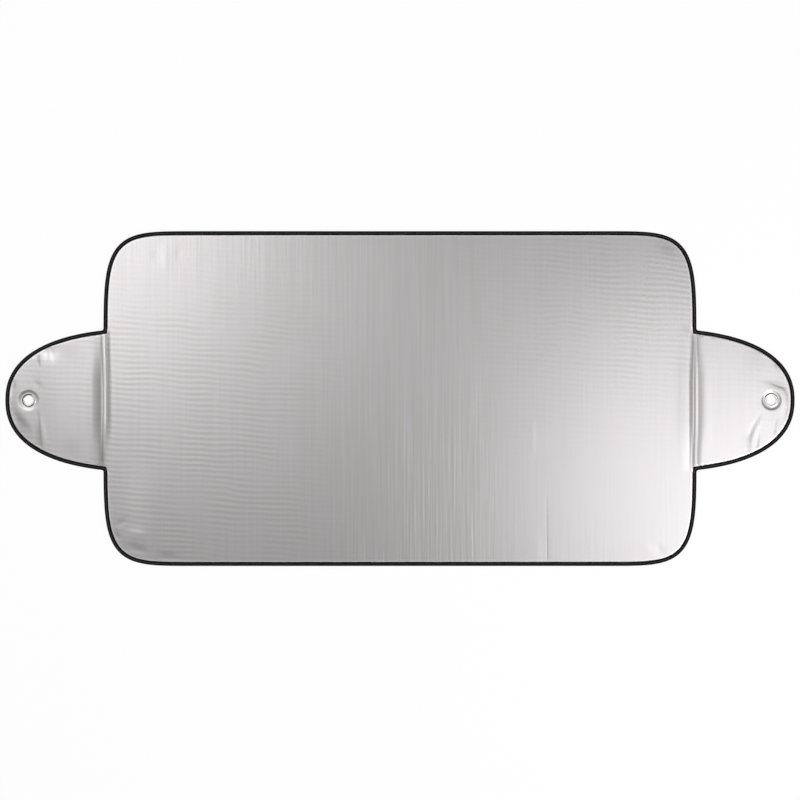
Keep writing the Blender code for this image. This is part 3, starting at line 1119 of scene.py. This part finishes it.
@dataclass
class FoilSheet:
    """The padded foil sheet: panel and both ears in one.

    Attributes:
        crease_inset: Inset at which the creases' rows end.
        crease_end: Height from the middle beyond which the panel's grid has no crease beside it.
        row_share: Distance between a grid's rows, as a share of its spacing.
        ring_room: Room that a grid leaves round the rings, as a share of its spacing.
        crease_room: Room that it leaves beside the creases' rows, as a share of its spacing.
        weld: Distance at which the mesh's points become one.
        slack: How far a face's middle may reach into a hole.
    """

    form: SheetForm
    rim_insets_mm: tuple = (1.2, 4.5, 8.3, 8.6, 8.9, 9.2, 9.6, 11.0, 14.0)
    dish_radii_mm: tuple = (10.0, 12.7, 15.4, 16.4, 17.4, 18.4, 19.4, 20.4, 21.4, 22.5, 24.2, 26.5)
    dish_sides: int = 72
    crease_offsets_mm: tuple = (
        *range(-45, -20, 4), *np.arange(-20, 12, 0.75).tolist(), *range(12, 24, 2), *range(24, 39, 4)
    )
    crease_run: float = 4.0 * MM
    crease_inset: float = 10.3 * MM
    crease_end: float = 0.14
    ear_grid: float = 2.6 * MM
    ear_corner: tuple[float, float] = (0.84, 0.17)
    panel_grid: float = 9.5 * MM
    panel_corner: tuple[float, float] = (0.64, 0.36)
    row_share: float = 0.866
    ring_room: float = 0.5
    crease_room: float = 0.4
    weld: float = 1e-7
    slack: float = 0.01 * MM
    smooth_angle: float = math.radians(50)

    def crease_points(self) -> np.ndarray:
        """Points in rows along both creases."""
        crease = RIGHT_CREASE
        count = round(2 * crease.half_length / self.crease_run)
        runs = np.linspace(-crease.half_length, crease.half_length, count + 1) + crease.centre_height
        across = crease.place + np.array(self.crease_offsets_mm) * MM
        right = np.column_stack((np.repeat(across, len(runs)), np.tile(runs, len(across))))
        return np.vstack((right, right * (-1, 1)))

    def grid(self, spacing: float, low: tuple[float, float], high: tuple[float, float]) -> np.ndarray:
        """Points in staggered rows that fill a box.

        Args:
            spacing: Distance between neighbours.
            low: Lowest corner of the box.
            high: Highest corner of the box.

        Returns:
            The points.
        """
        rows = []
        for number, up in enumerate(np.arange(low[1], high[1], spacing * self.row_share)):
            across = np.arange(low[0] + spacing / 2 * (number % 2), high[0], spacing)
            rows.append(np.column_stack((across, np.full(len(across), up))))
        return np.vstack(rows)

    def inside(self, points: np.ndarray, spacing: float = 0.0) -> np.ndarray:
        """Keeps the points that are clear of the rim's rings, the dishes and the creases.

        Args:
            points: Points to choose from.
            spacing: Distance between neighbours in their grid, or none for points that need no room.

        Returns:
            The points that are kept.
        """
        margin, keep_off_crease = spacing * self.ring_room, spacing * self.crease_room
        points = points[in_loop(points, self.form.path.at(self.rim_insets_mm[-1] * MM + margin))]
        crease = RIGHT_CREASE
        offset = np.abs(points[:, 0]) - crease.place
        first, last = self.crease_offsets_mm[0] * MM, self.crease_offsets_mm[-1] * MM
        on_crease = (offset > first - keep_off_crease) & (offset < last + keep_off_crease)
        on_crease &= np.abs(points[:, 1] - crease.centre_height) < crease.half_length + keep_off_crease
        points = points[~on_crease]
        for ear in Ear:
            away = np.linalg.norm(points - self.form.dish.centre(ear), axis=1)
            points = points[away > self.dish_radii_mm[-1] * MM + margin]
        return points

    def plan(self) -> tuple[np.ndarray, np.ndarray]:
        """The sheet seen from above, as points and triangles."""
        path, dish = self.form.path, self.form.dish
        loops = [path.at(inset * MM) for inset in self.rim_insets_mm]
        turns = np.linspace(0, 2 * math.pi, self.dish_sides, endpoint=False)
        round_points = np.column_stack((np.cos(turns), np.sin(turns)))
        holes = [dish.centre(ear) + round_points * self.dish_radii_mm[0] * MM for ear in Ear]
        radii = self.dish_radii_mm[1:]
        rings = [dish.centre(ear) + round_points * radius * MM for ear in Ear for radius in radii]
        creases = self.crease_points()
        creases = creases[in_loop(creases, path.at(self.crease_inset))]
        panel_half = RIGHT_CREASE.place + self.crease_offsets_mm[0] * MM
        ear_half = RIGHT_CREASE.place + self.crease_offsets_mm[-1] * MM
        across, up = self.panel_corner
        panel = self.grid(self.panel_grid, (-across, -up), (across, up))
        panel = panel[(np.abs(panel[:, 0]) < panel_half) | (np.abs(panel[:, 1]) > self.crease_end)]
        panel = self.inside(panel, self.panel_grid)
        ear = self.grid(self.ear_grid, (ear_half, -self.ear_corner[1]), self.ear_corner)
        ears = self.inside(np.vstack((ear, ear * (-1, 1))), self.ear_grid)
        folds = self.inside(np.vstack([wrinkle.rows() for wrinkle in WRINKLES]))
        points = np.vstack([*loops, *holes, *rings, creases, panel, ears, folds])
        first_hole = sum(map(len, loops))
        edges = []
        for first, loop in zip((0, first_hole, first_hole + self.dish_sides), (loops[0], *holes)):
            edges += [(first + place, first + (place + 1) % len(loop)) for place in range(len(loop))]
        made = delaunay_2d_cdt([Vector(point) for point in points], edges, [], 1, self.weld, False)
        flat = np.array([tuple(vert) for vert in made[0]])
        triangles = np.array(made[2])
        middles = flat[triangles].mean(axis=1)
        keep = in_loop(middles, loops[0])
        for ear in Ear:
            away = np.linalg.norm(middles - dish.centre(ear), axis=1)
            keep &= away > dish.hole_radius * math.cos(math.pi / self.dish_sides) - self.slack
        return flat, triangles[keep]

    def build(self) -> bpy.types.Object:
        """Makes the sheet's two sides and joins them with walls round its edge and holes.

        Returns:
            The piece.
        """
        flat, triangles = self.plan()
        corners = flat[triangles]
        spans = corners[:, 1:] - corners[:, :1]
        turned = spans[:, 0, 0] * spans[:, 1, 1] - spans[:, 0, 1] * spans[:, 1, 0] < 0
        triangles[turned] = triangles[turned][:, ::-1]
        front, back, crushed = self.form.sides(flat)
        count = len(flat)
        edges = np.vstack([triangles[:, (0, 1)], triangles[:, (1, 2)], triangles[:, (2, 0)]])
        known = set(map(tuple, edges.tolist()))
        rim = [(start, end) for start, end in known if (end, start) not in known]
        walls = [(end, start, start + count, end + count) for start, end in sorted(rim)]
        faces = triangles.tolist() + (triangles[:, ::-1] + count).tolist() + walls
        verts = np.vstack((np.column_stack((flat, front)), np.column_stack((flat, back))))
        mesh = bpy.data.meshes.new("foil_sheet")
        mesh.from_pydata(verts.tolist(), [], faces)
        film = mesh.attributes.new(PAINTED_SHADING, "FLOAT", "POINT")
        film.data.foreach_set("value", np.tile(crushed, 2).astype(np.float32))
        mesh.shade_smooth()
        sheet = place_piece("foil_sheet", mesh)
        only(sheet)
        bpy.ops.object.shade_smooth_by_angle(angle=self.smooth_angle)
        return sheet


def in_loop(points: np.ndarray, loop: np.ndarray) -> np.ndarray:
    """Which points lie inside a closed loop.

    Args:
        points: Places seen from above.
        loop: The loop's points, in order.

    Returns:
        True for each point inside.
    """
    following = np.roll(loop, -1, axis=0)
    inside = np.zeros(len(points), bool)
    for (x_start, y_start), (x_end, y_end) in zip(loop, following):
        if y_start == y_end:
            continue
        crosses = (points[:, 1] < y_start) != (points[:, 1] < y_end)
        at_height = x_start + (points[:, 1] - y_start) * (x_end - x_start) / (y_end - y_start)
        inside ^= crosses & (points[:, 0] < at_height)
    return inside


@dataclass
class EdgeTape:
    """The woven tape, folded round the whole edge and sewn through.

    Attributes:
        half_section_mm: Inset and height over the floor of its outer face, from its free edge to the fold.
        stray: How far its free edge strays from its line at most.
        stray_waves: Radians to the metre, start and share of each wave that the free edge strays in.
    """

    form: SheetForm
    thickness: float = 0.6 * MM
    cut_width: float = 20.0 * MM
    seam_inset: float = 4.2 * MM
    seam_height: float = 3.44 * MM
    half_section_mm: tuple = (
        (8.0, 3.46), (7.5, 3.64), (6.4, 3.72), (5.3, 3.66), (4.6, 3.5), (4.2, 3.44),
        (3.8, 3.5), (3.1, 3.6), (2.0, 3.58), (1.1, 3.38), (0.4, 2.96), (0.0, 2.3),
    )
    stray: float = 0.22 * MM
    stray_waves: tuple = ((61.0, 0.0, 0.6), (147.0, 1.0, 0.4))
    smooth_angle: float = math.radians(60)

    def section(self) -> list[tuple[float, float]]:
        """The tape's outer face across its width, from the front round the fold to the back, in metres."""
        front = [(inset * MM, height * MM) for inset, height in self.half_section_mm]
        return front + [(inset, self.form.thickness - height) for inset, height in reversed(front)]

    def waver(self, travelled: np.ndarray) -> np.ndarray:
        """How far the tape's free edge strays from its line, at each distance along it."""
        return self.stray * sum(
            np.sin(travelled * turn + start) * share for turn, start, share in self.stray_waves
        )

    def seam(self) -> np.ndarray:
        """The seam seen from above, as points that end where they start."""
        line = self.form.path.at(self.seam_inset)
        return np.vstack((line, line[:1]))

    def build(self) -> bpy.types.Object:
        """Makes the tape's outer face round the edge, unrolls it for its weave, and thickens it.

        Returns:
            The piece.
        """
        section = self.section()
        travelled = travelled_of(self.seam())
        rings = []
        for inset, height in section:
            line = self.form.path.at(inset)
            share = inset / section[0][0]
            line = line + self.form.path.inward * (self.waver(travelled[:-1]) * share**2)[:, None]
            rings.append(np.column_stack((line, height + self.form.lie(line))))
        stations, rows = len(rings[0]), len(rings)
        verts = np.stack(rings, axis=1).reshape(-1, 3)
        steps = np.diff(np.array(section), axis=0)
        across = np.concatenate(([0.0], np.cumsum(np.linalg.norm(steps, axis=1))))
        faces, spots = [], []
        for station in range(stations):
            for row in range(rows - 1):
                here, there = station * rows + row, (station + 1) % stations * rows + row
                faces.append((here, here + 1, there + 1, there))
                ends = travelled[station], travelled[station + 1]
                spots += [(ends[0], across[row]), (ends[0], across[row + 1])]
                spots += [(ends[1], across[row + 1]), (ends[1], across[row])]
        mesh = bpy.data.meshes.new("edge_tape")
        mesh.from_pydata(verts.tolist(), [], faces)
        mesh.shade_smooth()
        unrolled = mesh.uv_layers.new(name="unrolled")
        unrolled.uv.foreach_set("vector", np.array(spots).ravel())
        tape = place_piece("edge_tape", mesh)
        apply_modifier(tape, "SOLIDIFY", thickness=self.thickness, offset=-1.0, use_even_offset=True)
        bpy.ops.object.shade_smooth_by_angle(angle=self.smooth_angle)
        return tape


@dataclass
class Stitching:
    """One side of the seam that holds the tape: a row of short stitches sunk in its middle.

    Attributes:
        bends: Places along a stitch where it can bend, as shares of the length that bends.
        bent_share: Share of its length that bends.
        taper: Share of its thickness that it loses at its ends.
        proud: Height of its middle over the tape, in radii.
    """

    tape: EdgeTape
    side: SheetSide
    pitch: float = 4.0 * MM
    length: float = 3.3 * MM
    thread_radius: float = 0.32 * MM
    sides: int = 6
    bends: tuple = (-0.5, -0.22, 0.22, 0.5)
    bent_share: float = 0.8
    taper: float = 0.45
    proud: float = 0.35

    def one_stitch(self) -> tuple[np.ndarray, list[tuple[int, ...]]]:
        """Models a stitch as a short bowed thread.

        Returns:
            Its vertices, along X with +Z outwards, and its faces.
        """
        bpy.ops.object.select_all(action="DESELECT")
        bpy.ops.mesh.primitive_cylinder_add(
            vertices=self.sides, radius=self.thread_radius, depth=self.length, rotation=(0, math.pi / 2, 0)
        )
        stitch = bpy.context.object
        bpy.ops.object.transform_apply(location=False, rotation=True, scale=False)
        bpy.ops.object.mode_set(mode="EDIT")
        for share in self.bends:
            bpy.ops.mesh.select_all(action="SELECT")
            bpy.ops.mesh.bisect(plane_co=(share * self.length * self.bent_share, 0, 0), plane_no=(1, 0, 0))
        bpy.ops.object.mode_set(mode="OBJECT")
        verts = np.array([tuple(vert.co) for vert in stitch.data.vertices])
        faces = [tuple(face.vertices) for face in stitch.data.polygons]
        bpy.data.objects.remove(stitch)
        bow = (2 * verts[:, 0] / self.length) ** 2
        verts[:, 1:] *= (1 - self.taper * bow**2)[:, None]
        verts[:, 2] += self.thread_radius * (self.proud - bow)
        return verts, faces

    def build(self) -> bpy.types.Object:
        """Copies the stitch along the seam.

        Returns:
            The piece.
        """
        shape, shape_faces = self.one_stitch()
        form, seam = self.tape.form, self.tape.seam()
        whole = travelled_of(seam)[-1]
        count = int(whole / self.pitch)
        middles = (np.arange(count) + 0.5) * whole / count
        starts = points_along(seam, (middles - self.length / 2).clip(0, whole))
        ends = points_along(seam, (middles + self.length / 2).clip(0, whole))
        place, along = (starts + ends) / 2, ends - starts
        along /= np.linalg.norm(along, axis=1)[:, None]
        across = left_of(along)
        up = self.side.value
        base = self.tape.seam_height
        if self.side is SheetSide.BACK:
            base = form.thickness - base
        base = base + form.lie(place)
        flat = place[:, None] + shape[None, :, :1] * along[:, None]
        flat = flat + shape[None, :, 1:2] * across[:, None] * up
        height = base[:, None] + shape[None, :, 2] * up
        verts = np.concatenate((flat, height[..., None]), axis=2).reshape(-1, 3)
        faces = []
        for number in range(count):
            faces += [tuple(corner + number * len(shape) for corner in face) for face in shape_faces]
        name = f"{self.side.name.lower()}_stitching"
        mesh = bpy.data.meshes.new(name)
        mesh.from_pydata(verts.tolist(), [], faces)
        mesh.shade_smooth()
        return place_piece(name, mesh)


@dataclass
class TurnedMetal:
    """A turned ring of an eyelet, as its outer face, circle by circle, with its metal behind it.

    Attributes:
        name: What the ring is called.
        face_mm: Radius and height over the floor of each circle of its outer face.
        dish: The seat that it lies in.
        metal: Thickness of its metal.
        sides: Number of sides that its circles are drawn with.
        edge_round: How far its sharp edges are rounded.
        edge_angle: Angle from which an edge is sharp.
    """

    name: str
    face_mm: tuple
    dish: Dish
    metal: float = 0.5 * MM
    sides: int = 96
    edge_round: float = 0.12 * MM
    edge_angle: float = math.radians(50)
    smooth_angle: float = math.radians(40)

    def build(self, ear: Ear, lift: float) -> bpy.types.Object:
        """Draws the ring out of one circle, and gives it thickness.

        Args:
            ear: The ear that it is set in.
            lift: Height of the sheet's underside there.

        Returns:
            The piece.
        """
        across, up = self.dish.centre(ear)
        radius, height = self.face_mm[0]
        bpy.ops.object.select_all(action="DESELECT")
        bpy.ops.mesh.primitive_circle_add(
            vertices=self.sides, radius=radius * MM, location=(across, up, height * MM + lift)
        )
        ring = bpy.context.object
        ring.name = f"{ear.word}_{self.name}"
        ring.data.name = ring.name
        bpy.ops.object.mode_set(mode="EDIT")
        bpy.ops.mesh.select_all(action="SELECT")
        for next_radius, next_height in self.face_mm[1:]:
            step = (next_height - height) * MM
            bpy.ops.mesh.extrude_edges_move(TRANSFORM_OT_translate={"value": (0, 0, step)})
            share = next_radius / radius
            pivot = (across, up, next_height * MM + lift)
            bpy.ops.transform.resize(value=(share, share, 1), center_override=pivot)
            radius, height = next_radius, next_height
        bpy.ops.mesh.select_all(action="SELECT")
        bpy.ops.mesh.normals_make_consistent(inside=False)
        bpy.ops.object.mode_set(mode="OBJECT")
        bpy.ops.object.transform_apply(location=True, rotation=True, scale=True)
        self.face_outwards(ring)
        apply_modifier(ring, "SOLIDIFY", thickness=self.metal, offset=-1.0, use_even_offset=True)
        sharp = {"limit_method": "ANGLE", "angle_limit": self.edge_angle}
        apply_modifier(ring, "BEVEL", width=self.edge_round, segments=2, **sharp)
        bpy.ops.object.shade_smooth_by_angle(angle=self.smooth_angle)
        return ring

    def face_outwards(self, ring: bpy.types.Object) -> None:
        """Turns the whole face over if its first circle's faces look the wrong way."""
        middle = Vector((*np.array([tuple(v.co) for v in ring.data.vertices]).mean(0)[:2], 0))
        first = ring.data.polygons[0]
        away = first.center - middle
        away.z = 0
        (r_start, z_start), (r_end, z_end) = self.face_mm[:2]
        wanted = away.normalized() * (z_end - z_start) + Vector((0, 0, 1)) * (r_start - r_end)
        if first.normal.dot(wanted) < 0:
            ring.data.flip_normals()


@dataclass
class Eyelets:
    """The two nickel eyelets, each with the washer that its barrel is flared over on the back."""

    form: SheetForm
    eyelet_mm: tuple = (
        (15.0, 2.9), (15.0, 3.12), (14.85, 3.4), (14.5, 3.68), (14.0, 3.9), (13.4, 4.08), (12.7, 4.18),
        (12.0, 4.2), (11.3, 4.13), (10.6, 3.96), (10.0, 3.7), (9.55, 3.32), (9.25, 2.9), (9.08, 2.4),
        (9.0, 1.9), (9.0, 0.75), (9.06, 0.45), (9.25, 0.18), (9.6, 0.03), (10.1, 0.0), (11.2, 0.0),
    )
    washer_mm: tuple = ((9.9, 0.8), (11.5, 0.8), (13.2, 0.8), (13.9, 0.74), (14.5, 0.62), (14.9, 0.45))

    def build(self, finish: NickelFinish) -> list[bpy.types.Object]:
        """Makes and dresses all four rings.

        Args:
            finish: Their finish.

        Returns:
            The pieces.
        """
        made = []
        for ear in Ear:
            centre = self.form.dish.centre(ear)
            lift = float(self.form.lie(centre[None])[0])
            material = finish.material(centre, ear)
            for name, face in (("eyelet", self.eyelet_mm), ("eyelet_washer", self.washer_mm)):
                ring = TurnedMetal(f"nickel_{name}", face, self.form.dish).build(ear, lift)
                finish_piece(ring, material, f"{ear.word}_{name}")
                made.append(ring)
        return made


@dataclass(frozen=True)
class Floor:
    """A plain white floor that keeps the shade's soft shadow.

    Attributes:
        drop: How far it lies under the shade.
        plain_share: Share of it that is plain white to the camera and in reflections.
    """

    half_size: float = 30.0
    drop: float = 0.05 * MM
    colour: str = "#ffffff"
    plain_share: float = 0.86

    def build(self) -> None:
        """Lays the floor under the shade."""
        bpy.ops.object.select_all(action="DESELECT")
        bpy.ops.mesh.primitive_plane_add(size=2 * self.half_size, location=(0, 0, -self.drop))
        floor = bpy.context.object
        floor.name = "floor"
        bpy.ops.object.transform_apply(location=True, rotation=False, scale=False)
        material = bpy.data.materials.new("white_studio_floor")
        material.use_nodes = True
        tree = material.node_tree
        tree.nodes.clear()
        matt = add_node(tree, "BsdfDiffuse", {"Color": linear(self.colour)})
        plain = add_node(tree, "Emission", {"Color": (1, 1, 1, 1), "Strength": 1.0})
        path = add_node(tree, "LightPath")
        seen = add_node(
            tree,
            "Math",
            {0: path.outputs["Is Camera Ray"], 1: path.outputs["Is Glossy Ray"]},
            operation="MAXIMUM",
        )
        seen = add_node(
            tree, "Math", {0: seen.outputs[0], 1: path.outputs["Is Transmission Ray"]}, operation="MAXIMUM"
        )
        share = add_node(tree, "Math", {0: seen.outputs[0], 1: self.plain_share}, operation="MULTIPLY")
        mixed = add_node(
            tree, "MixShader", {0: share.outputs[0], 1: matt.outputs[0], 2: plain.outputs[0]}
        )
        add_node(tree, "OutputMaterial", {"Surface": mixed.outputs[0]})
        floor.data.materials.append(material)


@dataclass(frozen=True)
class Softbox:
    """A square diffused lamp over the shade, turned to its middle.

    Attributes:
        name: What the lamp is called.
        place: Where it hangs.
        size: Length of its sides.
        power: Its power in watts.
    """

    name: str
    place: tuple[float, float, float]
    size: float
    power: float

    def build(self) -> None:
        """Hangs the lamp."""
        lamp = bpy.data.lights.new(self.name, "AREA")
        lamp.shape = "SQUARE"
        lamp.size = self.size
        lamp.energy = self.power
        hung = bpy.data.objects.new(self.name, lamp)
        hung.location = self.place
        hung.rotation_euler = (-Vector(self.place)).to_track_quat("-Z", "Y").to_euler()
        bpy.context.scene.collection.objects.link(hung)


@dataclass(frozen=True)
class StudioLight:
    """A soft studio: a dome that is white at its foot and dim overhead, and softboxes beside the camera."""

    foot_strength: float = 1.0
    top_strength: float = 0.249
    foot_height: float = 0.55
    top_height: float = 0.88
    softboxes: tuple[Softbox, ...] = (
        Softbox("upper_left_softbox", (-1.5, 0.9, 2.5), 1.4, 8.16),
        Softbox("left_fill", (-1.0, 0.3, 2.5), 1.4, 2.32),
        Softbox("top_fill", (0.0, 0.9, 2.5), 1.4, 1.01),
        Softbox("right_softbox", (1.5, -0.3, 2.5), 1.4, 5.33),
        Softbox("right_fill", (1.0, -0.3, 2.5), 1.4, 2.73),
        Softbox("lower_right_softbox", (2.5, -1.5, 2.5), 1.4, 30.2),
    )

    def build(self) -> None:
        """Lights the scene."""
        world = bpy.data.worlds.new("studio_dome")
        bpy.context.scene.world = world
        world.use_nodes = True
        tree = world.node_tree
        tree.nodes.clear()
        direction = add_node(tree, "TexCoord").outputs["Generated"]
        height = add_node(tree, "SeparateXYZ", {0: direction}).outputs["Z"]
        strength = add_node(
            tree,
            "MapRange",
            {
                "Value": height,
                "From Min": self.foot_height,
                "From Max": self.top_height,
                "To Min": self.foot_strength,
                "To Max": self.top_strength,
            },
            interpolation_type="SMOOTHSTEP",
        ).outputs[0]
        dome = add_node(tree, "Background", {"Color": (1, 1, 1, 1), "Strength": strength})
        add_node(tree, "OutputWorld", {"Surface": dome.outputs[0]})
        for softbox in self.softboxes:
            softbox.build()


@dataclass(frozen=True)
class OverheadCamera:
    """The camera, straight above the shade."""

    across: float = 0.0
    up: float = -3.0 * MM
    lens: float = 50.0
    sensor: float = 36.0
    seen_width: float = 1.67164
    face_height: float = 4.0 * MM
    far: float = 200.0

    def build(self) -> None:
        """Hangs the camera so that it sees seen_width of the shade's face."""
        camera = bpy.data.cameras.new("overhead")
        camera.lens = self.lens
        camera.sensor_width = self.sensor
        camera.clip_end = self.far
        hung = bpy.data.objects.new("overhead", camera)
        hung.location = (self.across, self.up, self.face_height + self.seen_width * self.lens / self.sensor)
        bpy.context.scene.collection.objects.link(hung)
        bpy.context.scene.camera = hung


def declare_cloth(form: SheetForm, tape: EdgeTape) -> None:
    """Works out the sheet's cut outline and the seam's length, and does nothing more with them.

    Args:
        form: How the sheet lies.
        tape: The tape's sizes.
    """
    cut = form.path.at(form.cut_inset)
    length = float(travelled_of(tape.seam())[-1])


def main() -> None:
    """Builds the shade piece by piece, then its floor, light and camera."""
    OverheadCamera().build()
    form = SheetForm(Cut().path())

    foil = FoilSheet(form).build()
    finish_piece(foil, FoilFinish().material(), "reflective_sheet")

    tape = EdgeTape(form)
    tape_piece = tape.build()
    finish_piece(tape_piece, TapeFinish().material(), "edge_binding")

    thread = ThreadFinish().material()
    others = []
    for side in SheetSide:
        stitches = Stitching(tape, side).build()
        finish_piece(stitches, thread, None)
        others.append(stitches)
    others += Eyelets(form).build(NickelFinish())
    declare_cloth(form, tape)

    Floor().build()
    StudioLight().build()
    bpy.context.scene.view_settings.view_transform = "Standard"


if __name__ == "__main__":
    main()
